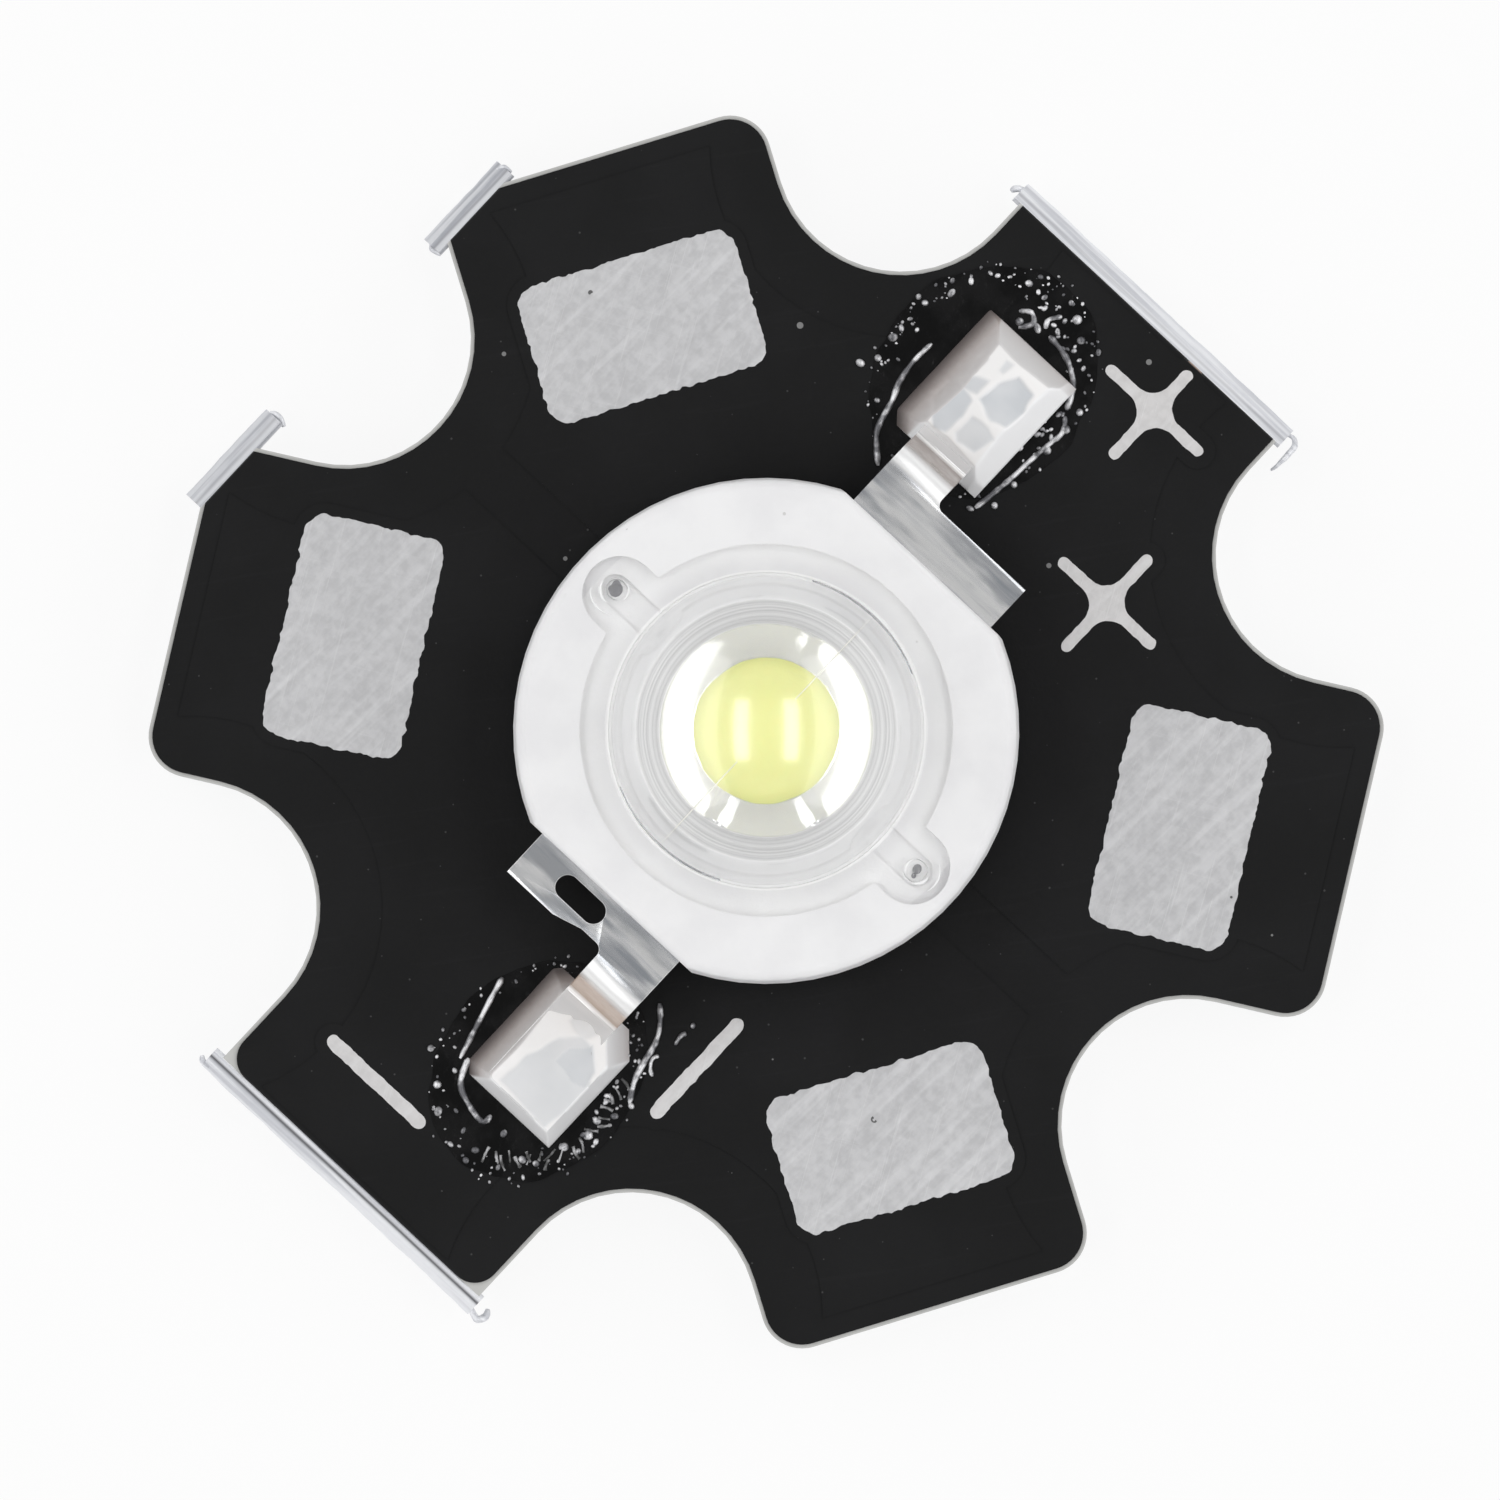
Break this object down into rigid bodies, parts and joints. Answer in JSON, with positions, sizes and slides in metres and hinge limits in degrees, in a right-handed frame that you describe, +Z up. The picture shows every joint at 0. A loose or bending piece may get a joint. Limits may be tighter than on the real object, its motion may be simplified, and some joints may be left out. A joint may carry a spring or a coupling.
{
  "type": "star board power led",
  "caption": "Hexagonal star-shaped aluminium-core board with screw notches and wire pads, carrying a white power emitter with a clear dome soldered at its centre.",
  "frame": {"origin": "centre of the emitter on the flat underside of the board", "axes": "+Z up through the lens, +X towards the anode, +Y towards the notch between the two scored corners"},
  "size_m": [0.0192, 0.0186, 0.0069],
  "materials": {
    "aluminium": "rolled sheet with punched walls and snapped, torn score edges",
    "dielectric": "thin filled epoxy layer",
    "copper": "etched copper foil",
    "solder_mask": "matte black lacquer with fine pale specks",
    "tin": "dull light grey tin with fine scratches",
    "thermal_compound": "white paste",
    "silver_plating": "bright silver plate on copper",
    "white_moulding": "satin white heat-proof moulding",
    "solder": "bright faceted solder",
    "chip": "polished chip",
    "gold": "drawn gold wire",
    "phosphor": "soft lemon yellow phosphor in silicone",
    "clear_gel": "clear soft silicone gel",
    "clear_lens": "clear moulded dome"
  },
  "bodies": {
    "root": {"aluminium_base": "aluminium", "dielectric_layer": "dielectric", "copper_positive": "copper", "copper_negative": "copper", "copper_thermal_pad": "copper", "solder_mask": "solder_mask", "tin_pad_positive_rear": "tin", "tin_pad_negative_rear": "tin", "tin_pad_negative_front": "tin", "tin_pad_positive_front": "tin", "plus_mark_inner": "tin", "plus_mark_outer": "tin", "minus_mark_upright": "tin", "minus_mark_level": "tin", "thermal_compound": "thermal_compound", "heat_slug": "silver_plating", "emitter_body": "white_moulding", "anode_lead": "silver_plating", "cathode_lead": "silver_plating", "solder_joint_anode": "solder", "solder_joint_cathode": "solder", "die_attach": "solder", "led_die": "chip", "bond_wire_anode": "gold", "bond_wire_cathode": "gold", "phosphor_dab": "phosphor", "silicone_fill": "clear_gel", "lens": "clear_lens"}
  },
  "joints": []
}
